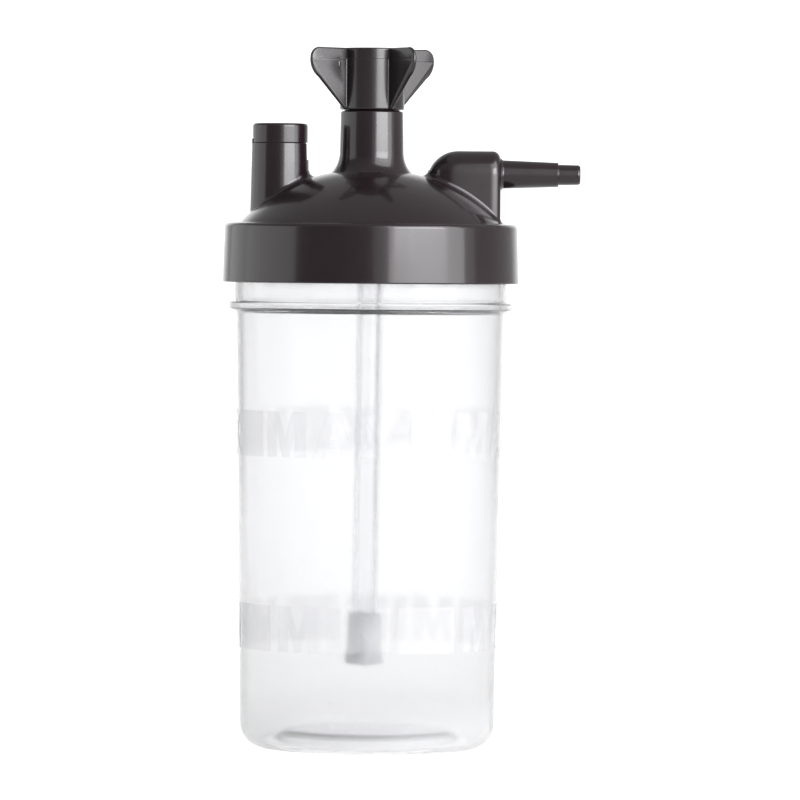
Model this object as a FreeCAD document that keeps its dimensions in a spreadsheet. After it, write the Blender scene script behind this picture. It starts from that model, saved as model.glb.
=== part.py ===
import FreeCAD, Part
import math
import os
import Sketcher

# Bubble humidifier bottle for an oxygen concentrator. Millimetres, +Z up.
# The bottle stands on z = 0 with its axis on Z; the outlet nipple points along +X.

V = FreeCAD.Vector

DIMS = {
    # bottle
    "foot_in_r": 25.6, "foot_out_r": 28.9, "corner_r": 7.0,
    "base_r": 35.95, "body_top_r": 37.9, "body_top_z": 123.2,
    "bead_r": 40.1, "bead_low_z": 124.0, "bead_top_z": 126.1,
    "neck_r": 38.45, "rim_z": 144.4, "wall": 1.4, "neck_bore_r": 36.6,
    "pushup": 5.6,
    # screw thread between bottle and lid
    "thread_pitch": 4.0, "bottle_thread_r": 39.75, "bottle_thread_z": 136.6,
    "bottle_thread_h": 6.0, "lid_thread_r": 38.87, "lid_thread_h": 5.0,
    # gasket
    "gasket_in_r": 35.4, "gasket_out_r": 39.85, "gasket_t": 1.6,
    # lid
    "skirt_low_z": 131.5, "skirt_low_r": 41.85, "skirt_top_r": 41.3,
    "skirt_bore_r": 40.2, "shoulder_z": 148.1, "dome_edge_r": 36.5,
    "dome_edge_z": 148.9, "crease_r": 11.4, "crease_z": 162.6,
    "neck_low_r": 9.05, "neck_top_r": 8.82, "neck_top_z": 180.0,
    "flare_z": 168.6, "nipple_bore_r": 5.6, "nipple_bore_z": 166.5,
    "passage_r": 2.6, "socket_r": 3.5, "socket_top_z": 158.0,
    "spigot_r": 5.4, "spigot_low_z": 147.0,
    # relief valve post
    "post_x": -25.85, "post_top_r": 8.0, "post_low_r": 8.45, "post_rim_z": 170.9,
    "post_bore_r": 7.35, "chamber_r": 6.3, "seat_z": 158.0, "seat_lip_z": 158.8,
    "seat_hole_r": 2.0, "vent_low_z": 166.1, "vent_w": 6.0, "post_fillet": 1.6,
    # outlet elbow and nipple
    "elbow_x": 22.2, "elbow_r": 6.7, "elbow_end_x": 36.5, "outlet_z": 162.5,
    "elbow_fillet": 2.5, "elbow_wall": 1.8, "stem_r": 4.05, "step_x": 52.7,
    "step_r": 3.45, "tip_r": 2.92, "tip_x": 59.0, "outlet_bore_r": 1.9,
    # wing nut
    "nut_low_z": 180.4, "nut_top_z": 197.8, "nut_r": 9.1, "nut_hole_r": 5.05,
    "nut_web_z": 183.5, "nut_undercut_r": 7.3, "thread_low_z": 188.5,
    "thread_top_z": 197.2, "inlet_thread_r": 6.45, "wing_t": 1.17,
    "wing_tip_r": 21.1, "wing_turn": 35.0,
    # inlet nipple
    "nipple_stem_r": 4.75, "shoulder_r": 6.1, "shoulder_low_z": 183.9,
    "shoulder_top_z": 185.6, "nose_top_z": 188.0, "nose_bore_r": 2.4,
    "nipple_low_z": 168.0,
    # dip tube and diffuser
    "tube_r": 3.5, "tube_bore_r": 2.35, "tube_low_z": 33.5,
    "sleeve_top_z": 38.3, "sleeve_top_r": 4.7, "sleeve_low_r": 4.85,
    "foot_top_z": 27.0, "foot_low_z": 23.9, "foot_r": 5.3, "spigot_foot_r": 4.2,
    "pore_r": 0.5, "pore_ring_r": 2.75, "pore_count": 8,
    # relief valve pieces
    "cap_r": 7.8, "cap_top_z": 176.4, "cap_under_z": 174.8, "cap_skirt_z": 167.6,
    "seal_r": 3.6, "seal_top_z": 160.0, "poppet_r": 5.0, "poppet_low_z": 159.3,
    "plate_top_z": 161.6, "guide_r": 1.7, "guide_top_z": 167.4,
    "spring_r": 3.0, "wire_r": 0.35, "spring_pitch": 1.86,
}

doc = FreeCAD.newDocument("humidifier_bottle")
sheet = doc.addObject("Spreadsheet::Sheet", "dims")
for row, (alias, value) in enumerate(DIMS.items(), start=1):
    sheet.set("A%d" % row, alias)
    sheet.set("B%d" % row, str(value))
    sheet.setAlias("B%d" % row, alias)
doc.recompute()

d = type("Dims", (), DIMS)


def new_body(label):
    body = doc.addObject("PartDesign::Body", label)
    body.Label = label
    return body


def new_sketch(body, name, role, offset=(0, 0, 0)):
    """A sketch on one of the body's own planes; offset is in that plane's axes."""
    sketch = body.newObject("Sketcher::SketchObject", name)
    origin_plane = [f for f in body.Origin.OriginFeatures if f.Role == role][0]
    sketch.AttachmentSupport = [(origin_plane, "")]
    sketch.MapMode = "FlatFace"
    sketch.AttachmentOffset = FreeCAD.Placement(V(*offset), FreeCAD.Rotation())
    return sketch


def number(value):
    return DIMS[value] if isinstance(value, str) else value


def pin_vertex(sketch, geometry, vertex, point):
    """Bind each coordinate that names a dimension to the spreadsheet."""
    for kind, value in zip(("DistanceX", "DistanceY"), point):
        if isinstance(value, str) and number(value) > 0:
            index = sketch.addConstraint(
                Sketcher.Constraint(kind, -1, 1, geometry, vertex, number(value)))
            sketch.setExpression("Constraints[%d]" % index, "dims." + value)


def outline(sketch, path):
    """Close a profile: (x, y) goes straight there, (xm, ym, x, y) goes by an arc."""
    corners = [step[-2:] for step in path]
    for i, step in enumerate(path):
        start = V(number(corners[i - 1][0]), number(corners[i - 1][1]), 0)
        end = V(number(step[-2]), number(step[-1]), 0)
        if len(step) == 4:
            middle = V(number(step[0]), number(step[1]), 0)
            curve = Part.Arc(start, middle, end)
        else:
            curve = Part.LineSegment(start, end)
        sketch.addGeometry(curve, False)
    return sketch


def straight_outline(sketch, path):
    """Close a straight-sided profile whose named coordinates follow the sheet."""
    outline(sketch, path)
    count = len(path)
    for i in range(count):
        sketch.addConstraint(Sketcher.Constraint("Coincident", i, 2, (i + 1) % count, 1))
    for i, step in enumerate(path):
        pin_vertex(sketch, i, 2, step)
    return sketch


def circle(sketch, radius, centre=(0, 0)):
    index = sketch.addGeometry(Part.Circle(V(centre[0], centre[1], 0), V(0, 0, 1), number(radius)), False)
    if isinstance(radius, str):
        rule = sketch.addConstraint(Sketcher.Constraint("Radius", index, number(radius)))
        sketch.setExpression("Constraints[%d]" % rule, "dims." + radius)
    return sketch


def turned(body, kind, sketch, name, axis="V_Axis"):
    feature = body.newObject("PartDesign::" + kind, name)
    feature.Profile = sketch
    feature.ReferenceAxis = (sketch, [axis])
    feature.Angle = 360
    return feature


def straight(body, kind, sketch, name, length, midplane=False, reverse=False):
    """A pad or pocket; length is a number or the name of a dimension."""
    feature = body.newObject("PartDesign::" + kind, name)
    feature.Profile = sketch
    feature.Length = number(length)
    if isinstance(length, str):
        feature.setExpression("Length", "dims." + length)
    feature.Midplane = midplane
    feature.Reversed = reverse
    return feature


def screw(body, sketch, name, height, pitch="thread_pitch"):
    feature = body.newObject("PartDesign::AdditiveHelix", name)
    feature.Profile = sketch
    feature.ReferenceAxis = (sketch, ["V_Axis"])
    feature.Mode = 0
    feature.Pitch = number(pitch)
    feature.setExpression("Pitch", "dims." + pitch)
    feature.Height = number(height)
    if isinstance(height, str):
        feature.setExpression("Height", "dims." + height)
    return feature


def fillet(body, base, name, radius, wanted):
    """Round the edges of base that the test function accepts."""
    names = ["Edge%d" % (i + 1) for i, e in enumerate(base.Shape.Edges) if wanted(e)]
    feature = body.newObject("PartDesign::Fillet", name)
    feature.Base = (base, names)
    feature.Radius = number(radius)
    if isinstance(radius, str):
        feature.setExpression("Radius", "dims." + radius)
    return feature


def arc_mid(start, end, radius, side):
    """The middle of an arc of this radius; side +1 bulges left of start to end."""
    dx = end[0] - start[0]
    dy = end[1] - start[1]
    half = math.hypot(dx, dy) / 2
    sag = radius - math.sqrt(radius * radius - half * half)
    nx = -dy / (2 * half) * side
    ny = dx / (2 * half) * side
    return ((start[0] + end[0]) / 2 + nx * sag, (start[1] + end[1]) / 2 + ny * sag)


def cap_mid(apex_z, edge):
    """The middle of an arc from the axis at apex_z to edge, round a centre on the axis."""
    drop = apex_z - edge[1]
    radius = (edge[0] * edge[0] + drop * drop) / (2 * drop)
    half = math.asin(edge[0] / radius) / 2
    return (radius * math.sin(half), apex_z - radius * (1 - math.cos(half)))


def corner(centre, radius, angle):
    """A point at this angle, in degrees, on a circle in the profile plane."""
    a = math.radians(angle)
    return (centre[0] + radius * math.cos(a), centre[1] + radius * math.sin(a))


def bottle():
    body = new_body("bottle")
    mid_out = corner((d.foot_out_r, d.corner_r), d.corner_r, -45)
    in_r = d.corner_r - d.wall
    mid_in = corner((d.foot_out_r, d.corner_r), in_r, -45)
    low_in = d.base_r - d.wall
    top_in = d.body_top_r - d.wall
    bead_z = (d.bead_low_z + d.bead_top_z) / 2
    floor_edge = (23.2, 3.7 + d.wall)
    wall = new_sketch(body, "wall_profile", "XZ_Plane")
    outline(wall, [
        (0, d.pushup),
        cap_mid(d.pushup, (22.6, 3.6)) + (22.6, 3.6),
        (24.9, 1.6, d.foot_in_r, 0),
        (d.foot_out_r, 0),
        mid_out + (d.base_r, d.corner_r),
        (d.body_top_r, d.body_top_z),
        (d.bead_r - 0.4, d.bead_low_z),
        (d.bead_r, d.bead_low_z + 0.4),
        (d.bead_r, d.bead_top_z - 0.6),
        (d.bead_r - 0.18, d.bead_top_z - 0.18, d.bead_r - 0.6, d.bead_top_z),
        (d.neck_r + 0.3, d.bead_top_z),
        (d.neck_r, d.bead_top_z + 0.3),
        (d.neck_r, d.rim_z - 0.4),
        (d.neck_r - 0.4, d.rim_z),
        (d.neck_bore_r, d.rim_z),
        (d.neck_bore_r, bead_z - 1.0),
        (top_in, d.body_top_z - 1.2),
        (low_in, d.corner_r),
        mid_in + (d.foot_out_r, d.wall),
        (d.foot_in_r + 0.9, d.wall),
        (25.6, 3.0) + floor_edge,
        cap_mid(d.pushup + d.wall, floor_edge) + (0, d.pushup + d.wall),
    ])
    turned(body, "Revolution", wall, "wall_shell")
    ridge = new_sketch(body, "thread_profile", "XZ_Plane")
    z = d.bottle_thread_z
    outline(ridge, [
        (d.neck_r - 0.3, z - 0.85),
        (d.bottle_thread_r, z - 0.45),
        (d.bottle_thread_r, z + 0.45),
        (d.neck_r - 0.3, z + 0.85),
    ])
    screw(body, ridge, "thread_ridge", "bottle_thread_h")
    return body


def lid_gasket():
    body = new_body("lid_gasket")
    top = d.rim_z + d.gasket_t
    ring = new_sketch(body, "ring_profile", "XZ_Plane")
    straight_outline(ring, [
        ("gasket_in_r", "rim_z"),
        ("gasket_out_r", "rim_z"),
        ("gasket_out_r", top),
        ("gasket_in_r", top),
    ])
    turned(body, "Revolution", ring, "ring")
    return body


def lid():
    body = new_body("lid")
    seat = d.rim_z + d.gasket_t
    crease = (d.crease_r, d.crease_z)
    dome_edge = (d.dome_edge_r, d.dome_edge_z)
    flare = (d.neck_low_r, d.flare_z)

    outside = new_sketch(body, "outside_profile", "XZ_Plane")
    outline(outside, [
        (0, d.skirt_low_z),
        (d.skirt_low_r - 0.3, d.skirt_low_z),
        (d.skirt_low_r, d.skirt_low_z + 0.3),
        (d.skirt_top_r, d.shoulder_z - 1.3),
        corner((d.skirt_top_r - 1.3, d.shoulder_z - 1.3), 1.3, 45) + (d.skirt_top_r - 1.3, d.shoulder_z),
        (d.dome_edge_r + 0.2, d.shoulder_z + 0.5),
        dome_edge,
        arc_mid(dome_edge, crease, 46, -1) + crease,
        arc_mid(crease, flare, 8.83, 1) + flare,
        (d.neck_top_r, d.neck_top_z - 0.9),
        corner((d.neck_top_r - 0.9, d.neck_top_z - 0.9), 0.9, 45) + (d.neck_top_r - 0.9, d.neck_top_z),
        (0, d.neck_top_z),
    ])
    turned(body, "Revolution", outside, "outside")

    post = new_sketch(body, "post_profile", "XZ_Plane", (d.post_x, 0, 0))
    straight_outline(post, [
        (0, 149.9),
        ("post_low_r", 149.9),
        ("post_top_r", "post_rim_z"),
        (0, "post_rim_z"),
    ])
    post_solid = turned(body, "Revolution", post, "post")

    plan = new_sketch(body, "elbow_plan", "XY_Plane", (0, 0, 148.0))
    f = d.elbow_fillet
    r = d.elbow_r
    end = d.elbow_end_x
    outline(plan, [
        (d.elbow_x, r),
        (d.elbow_x - r, 0, d.elbow_x, -r),
        (end - f, -r),
        corner((end - f, -r + f), f, -45) + (end, -r + f),
        (end, r - f),
        corner((end - f, r - f), f, 45) + (end - f, r),
    ])
    straight(body, "Pad", plan, "elbow_sides", d.outlet_z - 148.0)
    crown = new_sketch(body, "elbow_crown_profile", "XZ_Plane", (0, d.outlet_z, 0))
    outline(crown, [
        (d.elbow_x - r, 0),
        corner((d.elbow_x, 0), r, 135) + (d.elbow_x, r),
        (end - f, r),
        corner((end - f, r - f), f, 45) + (end, r - f),
        (end, 0),
    ])
    elbow = turned(body, "Revolution", crown, "elbow_crown", "H_Axis")
    doc.recompute()

    def at_root(edge):
        box = edge.BoundBox
        inside_post = box.XMax < d.post_x + 9.5 and box.XMin < d.post_x
        return inside_post and 150.5 < box.ZMin and box.ZMax < 162 and box.ZLength > 2

    fillet(body, elbow, "post_root", "post_fillet", at_root)

    stem = new_sketch(body, "outlet_profile", "XZ_Plane", (0, d.outlet_z, 0))
    outline(stem, [
        (end - 1.0, 0),
        (end - 1.0, d.stem_r + 0.02),
        (end, d.stem_r),
        (d.step_x, d.step_r),
        (d.step_x + 0.2, d.tip_r),
        (d.step_x + 4.6, d.tip_r),
        (d.tip_x - 0.5, d.tip_r - 0.12),
        (d.tip_x, d.tip_r - 0.45),
        (d.tip_x, 0),
    ])
    turned(body, "Revolution", stem, "outlet_nipple", "H_Axis")

    cavity = new_sketch(body, "cavity_profile", "XZ_Plane")
    roof = (d.gasket_in_r - 1.7, seat + 1.3)
    centre = (d.spigot_r, 160.7)
    outline(cavity, [
        (0, d.skirt_low_z - 1),
        (d.skirt_bore_r + 0.8, d.skirt_low_z - 1),
        (d.skirt_bore_r + 0.8, d.skirt_low_z),
        (d.skirt_bore_r, d.skirt_low_z + 0.9),
        (d.skirt_bore_r, seat),
        (d.gasket_in_r - 0.3, seat),
        (d.gasket_in_r - 0.3, d.rim_z - 0.8),
        (d.gasket_in_r - 1.7, d.rim_z - 0.8),
        roof,
        arc_mid(roof, centre, 46, -1) + centre,
        (0, 160.7),
    ])
    turned(body, "Groove", cavity, "cavity")

    room = new_sketch(body, "elbow_room_plan", "XY_Plane", (0, 0, 146.5))
    ri = d.elbow_r - d.elbow_wall
    outline(room, [
        (d.elbow_x, ri),
        (d.elbow_x - ri, 0, d.elbow_x, -ri),
        (34.0, -ri),
        (34.0, ri),
    ])
    straight(body, "Pocket", room, "elbow_room", d.outlet_z - 146.5, reverse=True)
    vault = new_sketch(body, "elbow_vault_profile", "XZ_Plane", (0, d.outlet_z, 0))
    outline(vault, [
        (d.elbow_x - ri, 0),
        corner((d.elbow_x, 0), ri, 135) + (d.elbow_x, ri),
        (34.0, ri),
        (34.0, 0),
    ])
    turned(body, "Groove", vault, "elbow_vault", "H_Axis")
    bore = new_sketch(body, "outlet_bore_profile", "XZ_Plane", (0, d.outlet_z, 0))
    outline(bore, [
        (30.0, 0),
        (30.0, d.outlet_bore_r),
        (d.tip_x - 0.4, d.outlet_bore_r),
        (d.tip_x + 0.2, d.outlet_bore_r + 0.35),
        (d.tip_x + 0.2, 0),
    ])
    turned(body, "Groove", bore, "outlet_bore", "H_Axis")

    spigot = new_sketch(body, "spigot_profile", "XZ_Plane")
    straight_outline(spigot, [
        (0, "spigot_low_z"),
        ("spigot_r", "spigot_low_z"),
        ("spigot_r", 161.5),
        (0, 161.5),
    ])
    turned(body, "Revolution", spigot, "tube_spigot")
    boss = new_sketch(body, "valve_boss_profile", "XZ_Plane", (d.post_x, 0, 0))
    outline(boss, [
        (0, 150.4),
        (7.4, 150.4),
        (8.0, 160.0),
        (0, 160.0),
    ])
    turned(body, "Revolution", boss, "valve_boss")

    way = new_sketch(body, "inlet_way_profile", "XZ_Plane")
    outline(way, [
        (0, d.spigot_low_z - 1),
        (d.socket_r + 0.5, d.spigot_low_z - 1),
        (d.socket_r + 0.5, d.spigot_low_z),
        (d.socket_r, d.spigot_low_z + 0.6),
        (d.socket_r, d.socket_top_z),
        (d.passage_r, d.socket_top_z),
        (d.passage_r, d.nipple_bore_z),
        (d.nipple_bore_r, d.nipple_bore_z),
        (d.nipple_bore_r, d.neck_top_z + 1),
        (0, d.neck_top_z + 1),
    ])
    turned(body, "Groove", way, "inlet_way")
    valve = new_sketch(body, "valve_way_profile", "XZ_Plane", (d.post_x, 0, 0))
    outline(valve, [
        (0, 149.0),
        (5.7, 149.0),
        (5.9, d.seat_z - 2.0),
        (d.seat_hole_r, d.seat_z - 2.0),
        (d.seat_hole_r, d.seat_lip_z),
        (d.seat_hole_r + 0.7, d.seat_lip_z),
        (d.seat_hole_r + 1.1, d.seat_z),
        (d.chamber_r, d.seat_z),
        (d.chamber_r, d.cap_skirt_z - 1.6),
        (d.post_bore_r, d.cap_skirt_z - 1.6),
        (d.post_bore_r, d.post_rim_z + 1),
        (0, d.post_rim_z + 1),
    ])
    turned(body, "Groove", valve, "valve_way")

    slot = new_sketch(body, "vent_plan", "YZ_Plane", (0, 0, d.post_x + 5.0))
    half = d.vent_w / 2
    outline(slot, [
        (-half, d.vent_low_z),
        (half, d.vent_low_z),
        (half, d.post_rim_z + 1),
        (-half, d.post_rim_z + 1),
    ])
    straight(body, "Pocket", slot, "vent_slot", 5.0, reverse=True)
    tab = new_sketch(body, "tab_plan", "XY_Plane", (0, 0, d.post_rim_z - 0.5))
    outline(tab, [
        (d.post_x - 7.95, -1.5),
        (d.post_x - 7.36, -1.5),
        (d.post_x - 7.36, 1.5),
        (d.post_x - 7.95, 1.5),
    ])
    straight(body, "Pad", tab, "locating_tab", 1.7)

    ridge = new_sketch(body, "thread_profile", "XZ_Plane")
    z = d.bottle_thread_z - d.thread_pitch / 2
    outline(ridge, [
        (d.lid_thread_r, z - 0.45),
        (d.skirt_bore_r + 0.3, z - 0.85),
        (d.skirt_bore_r + 0.3, z + 0.85),
        (d.lid_thread_r, z + 0.45),
    ])
    screw(body, ridge, "thread_ridge", "lid_thread_h")
    return body


def wing_nut():
    body = new_body("wing_nut")
    core = new_sketch(body, "core_profile", "XZ_Plane")
    outline(core, [
        (d.nut_hole_r, d.nut_low_z),
        (d.nut_r - 0.4, d.nut_low_z),
        (d.nut_r, d.nut_low_z + 0.4),
        (d.nut_r, d.nut_top_z - 0.5),
        (d.nut_r - 0.15, d.nut_top_z - 0.15, d.nut_r - 0.5, d.nut_top_z),
        (d.inlet_thread_r + 0.7, d.nut_top_z),
        (d.inlet_thread_r, d.thread_top_z),
        (d.inlet_thread_r, d.thread_low_z),
        (d.nut_undercut_r, d.thread_low_z - 0.6),
        (d.nut_undercut_r, d.nut_web_z),
        (d.nut_hole_r, d.nut_web_z),
    ])
    turned(body, "Revolution", core, "core")
    wing = new_sketch(body, "wing_outline", "XZ_Plane")
    outline(wing, [
        (8.2, d.nut_low_z + 0.1),
        (9.6, d.nut_low_z + 0.1),
        (18.4, 189.4),
        (20.55, 191.9, d.wing_tip_r, 194.7),
        (20.2, 197.0, 17.5, d.nut_top_z),
        (8.2, d.nut_top_z - 0.05),
    ])
    blade = straight(body, "Pad", wing, "wing", "wing_t", midplane=True)
    ring = body.newObject("PartDesign::PolarPattern", "wings")
    ring.Originals = [blade]
    ring.Axis = (wing, ["V_Axis"])
    ring.Angle = 360
    ring.Occurrences = 4
    body.Tip = ring
    body.Placement.Rotation = FreeCAD.Rotation(V(0, 0, 1), d.wing_turn)
    return body


def inlet_nipple():
    body = new_body("inlet_nipple")
    profile = new_sketch(body, "nipple_profile", "XZ_Plane")
    outline(profile, [
        (d.nose_bore_r, d.nipple_low_z),
        (d.nipple_bore_r - 0.4, d.nipple_low_z),
        (d.nipple_bore_r, d.nipple_low_z + 0.4),
        (d.nipple_bore_r, d.neck_top_z),
        (d.nipple_stem_r, d.neck_top_z),
        (d.nipple_stem_r, d.shoulder_low_z),
        (d.shoulder_r, d.shoulder_low_z),
        (d.shoulder_r, d.shoulder_top_z),
        (5.2, d.shoulder_top_z),
        (4.75, 187.2, 3.5, d.nose_top_z),
        (d.nose_bore_r, d.nose_top_z),
    ])
    turned(body, "Revolution", profile, "nipple")
    return body


def dip_tube():
    body = new_body("dip_tube")
    profile = new_sketch(body, "tube_profile", "XZ_Plane")
    straight_outline(profile, [
        ("tube_bore_r", "tube_low_z"),
        ("tube_r", "tube_low_z"),
        ("tube_r", "socket_top_z"),
        ("tube_bore_r", "socket_top_z"),
    ])
    turned(body, "Revolution", profile, "tube")
    return body


def diffuser_sleeve():
    body = new_body("diffuser_sleeve")
    profile = new_sketch(body, "sleeve_profile", "XZ_Plane")
    straight_outline(profile, [
        ("tube_r", "sleeve_top_z"),
        ("tube_r", "tube_low_z"),
        (2.9, "tube_low_z"),
        (2.9, 25.4),
        ("spigot_foot_r", 25.4),
        ("spigot_foot_r", "foot_top_z"),
        ("sleeve_low_r", "foot_top_z"),
        ("sleeve_top_r", "sleeve_top_z"),
    ])
    turned(body, "Revolution", profile, "sleeve")
    return body


def diffuser_foot():
    body = new_body("diffuser_foot")
    profile = new_sketch(body, "foot_profile", "XZ_Plane")
    outline(profile, [
        (0, 23.4),
        (1.0, 23.4),
        (1.3, d.foot_low_z),
        (d.foot_r - 0.4, d.foot_low_z),
        (d.foot_r, d.foot_low_z + 0.4),
        (d.foot_r, d.foot_top_z - 0.3),
        (d.foot_r - 0.3, d.foot_top_z),
        (d.spigot_foot_r, d.foot_top_z),
        (d.spigot_foot_r, 25.1),
        (0, 25.1),
    ])
    turned(body, "Revolution", profile, "foot")
    pore_plan = new_sketch(body, "pore_plan", "XY_Plane", (0, 0, 23.0))
    circle(pore_plan, "pore_r", (d.pore_ring_r, 0))
    pore = straight(body, "Pocket", pore_plan, "pore", 3.0, reverse=True)
    ring = body.newObject("PartDesign::PolarPattern", "pores")
    ring.Originals = [pore]
    ring.Axis = (pore_plan, ["N_Axis"])
    ring.Angle = 360
    ring.Occurrences = d.pore_count
    ring.setExpression("Occurrences", "dims.pore_count")
    body.Tip = ring
    return body


def relief_cap():
    body = new_body("relief_cap")
    profile = new_sketch(body, "cap_profile", "XZ_Plane")
    outline(profile, [
        (0, d.cap_under_z - 4.6),
        (1.9, d.cap_under_z - 4.6),
        (2.3, d.cap_under_z - 4.2),
        (2.3, d.cap_under_z),
        (d.chamber_r, d.cap_under_z),
        (d.chamber_r, d.cap_skirt_z),
        (d.post_bore_r, d.cap_skirt_z),
        (d.post_bore_r, d.post_rim_z),
        (d.cap_r, d.post_rim_z),
        (d.cap_r, d.cap_top_z - 0.8),
        corner((d.cap_r - 0.8, d.cap_top_z - 0.8), 0.8, 45) + (d.cap_r - 0.8, d.cap_top_z),
        (0, d.cap_top_z),
    ])
    turned(body, "Revolution", profile, "cap")
    notch = new_sketch(body, "notch_plan", "XY_Plane", (0, 0, d.post_rim_z - 0.5))
    outline(notch, [
        (-9.0, -1.8),
        (-7.3, -1.8),
        (-7.3, 1.8),
        (-9.0, 1.8),
    ])
    straight(body, "Pocket", notch, "notch", 2.0, reverse=True)
    body.Placement.Base = V(d.post_x, 0, 0)
    return body


def relief_seal():
    body = new_body("relief_seal")
    profile = new_sketch(body, "seal_profile", "XZ_Plane")
    straight_outline(profile, [
        (0, "seat_lip_z"),
        ("seal_r", "seat_lip_z"),
        ("seal_r", "seal_top_z"),
        (0, "seal_top_z"),
    ])
    turned(body, "Revolution", profile, "seal")
    body.Placement.Base = V(d.post_x, 0, 0)
    return body


def relief_poppet():
    body = new_body("relief_poppet")
    profile = new_sketch(body, "poppet_profile", "XZ_Plane")
    outline(profile, [
        (0, d.seal_top_z),
        (d.seal_r, d.seal_top_z),
        (d.seal_r, d.poppet_low_z),
        (d.poppet_r - 0.3, d.poppet_low_z),
        (d.poppet_r, d.poppet_low_z + 0.3),
        (d.poppet_r, d.plate_top_z),
        (d.guide_r, d.plate_top_z),
        (d.guide_r, d.guide_top_z - 0.5),
        (d.guide_r - 0.5, d.guide_top_z),
        (0, d.guide_top_z),
    ])
    turned(body, "Revolution", profile, "poppet")
    body.Placement.Base = V(d.post_x, 0, 0)
    return body


def relief_spring():
    body = new_body("relief_spring")
    wire = new_sketch(body, "wire_section", "XZ_Plane")
    low = d.plate_top_z + d.wire_r + 0.02
    high = d.cap_under_z - d.wire_r - 0.02
    circle(wire, "wire_r", (d.spring_r, low))
    screw(body, wire, "coil", high - low, "spring_pitch")
    body.Placement.Base = V(d.post_x, 0, 0)
    return body


PARTS = [
    bottle(), lid_gasket(), lid(), wing_nut(), inlet_nipple(), dip_tube(),
    diffuser_sleeve(), diffuser_foot(), relief_cap(), relief_spring(),
    relief_poppet(), relief_seal(),
]

doc.recompute()
for item in doc.Objects:
    if "Invalid" in item.State or "Error" in item.State:
        raise RuntimeError("%s did not build: %s" % (item.Label, item.State))
for body in PARTS:
    if body.Shape.isNull() or not body.Shape.isValid():
        raise RuntimeError(body.Label + " has no valid shape")
    if len(body.Shape.Solids) != 1:
        raise RuntimeError("%s has %d solids" % (body.Label, len(body.Shape.Solids)))

os.makedirs("parts", exist_ok=True)
for body in PARTS:
    body.Shape.exportStep("parts/%s.step" % body.Label)
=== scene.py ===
import bmesh
import bpy
import math
from mathutils import Matrix, Vector


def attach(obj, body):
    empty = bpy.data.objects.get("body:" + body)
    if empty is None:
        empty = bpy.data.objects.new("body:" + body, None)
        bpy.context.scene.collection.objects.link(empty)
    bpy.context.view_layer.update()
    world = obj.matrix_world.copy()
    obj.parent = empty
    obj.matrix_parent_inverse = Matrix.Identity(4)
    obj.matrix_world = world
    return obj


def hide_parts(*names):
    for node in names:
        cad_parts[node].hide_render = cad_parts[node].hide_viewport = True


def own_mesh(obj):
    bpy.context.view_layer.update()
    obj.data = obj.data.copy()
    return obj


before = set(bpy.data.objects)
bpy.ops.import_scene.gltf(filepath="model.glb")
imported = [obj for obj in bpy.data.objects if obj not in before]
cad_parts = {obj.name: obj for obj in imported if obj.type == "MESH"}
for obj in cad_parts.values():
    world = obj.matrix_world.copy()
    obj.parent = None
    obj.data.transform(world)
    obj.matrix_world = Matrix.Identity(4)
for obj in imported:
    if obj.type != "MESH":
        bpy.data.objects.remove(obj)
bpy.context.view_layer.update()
MM = 0.001


# ---------------------------------------------------------------- camera, stage, light

def look_at(obj, target):
    obj.rotation_euler = (Vector(target) - obj.location).to_track_quat("-Z", "Y").to_euler()


CAMERA_X = 0.0086
CAMERA_ROLL = 0.5
camera = bpy.data.objects.new("camera", bpy.data.cameras.new("camera"))
camera.data.lens = 296
camera.data.sensor_width = 36
camera.data.clip_end = 100
camera.location = (CAMERA_X, -1.86, 0.1415)
look_at(camera, (CAMERA_X, 0, 0.0985))
camera.rotation_euler.rotate_axis("Z", math.radians(CAMERA_ROLL))
bpy.context.scene.collection.objects.link(camera)
bpy.context.scene.camera = camera
bpy.context.scene.view_settings.view_transform = "Standard"


# The floor goes in here: the panels light everything else, so none of their edges shows on it.
floor_apart = bpy.data.collections.new("floor_apart")


def panel(name, azimuths, heights, distance, radiance):
    """An upright softbox facing the object. Azimuths run from the camera's side, right positive."""
    middle = math.radians(sum(azimuths) / 2)
    data = bpy.data.lights.new(name, "AREA")
    data.shape = "RECTANGLE"
    data.size = 2 * distance * math.tan(math.radians(azimuths[1] - azimuths[0]) / 2)
    data.size_y = heights[1] - heights[0]
    data.energy = radiance * math.pi * data.size * data.size_y
    data.color = (0.985, 0.985, 1.0)
    obj = bpy.data.objects.new(name, data)
    height = sum(heights) / 2
    obj.location = (distance * math.sin(middle), -distance * math.cos(middle), height)
    look_at(obj, (0, 0, height))
    obj.visible_camera = False
    obj.light_linking.receiver_collection = floor_apart
    bpy.context.scene.collection.objects.link(obj)


panel("softbox_right", (14, 77), (0.05, 1.3), 0.90, 4.1)
panel("softbox_core", (30, 62), (-0.1, 0.9), 0.95, 0.8)
panel("softbox_peak", (18, 60), (0.212, 0.60), 0.97, 9.5)
panel("softbox_halo", (2, 88), (-0.4, 1.6), 1.00, 0.7)
panel("panel_left", (-112, -59.5), (-0.25, 0.62), 1.00, 0.92)
panel("panel_far_left", (-140, -112), (-0.25, 0.62), 1.00, 0.50)


def ramp(tree, source, start, end, low, high):
    """low where the source is at start, high where it's at end, straight between."""
    node = tree.nodes.new("ShaderNodeMapRange")
    node.inputs["From Min"].default_value = start
    node.inputs["From Max"].default_value = end
    node.inputs["To Min"].default_value = low
    node.inputs["To Max"].default_value = high
    tree.links.new(source, node.inputs["Value"])
    return node.outputs["Result"]


def combine(tree, operation, first, second):
    node = tree.nodes.new("ShaderNodeMath")
    node.operation = operation
    tree.links.new(first, node.inputs[0])
    tree.links.new(second, node.inputs[1])
    return node.outputs["Value"]


def vector_math(tree, operation, source, output):
    node = tree.nodes.new("ShaderNodeVectorMath")
    node.operation = operation
    tree.links.new(source, node.inputs[0])
    return node.outputs[output]


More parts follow.
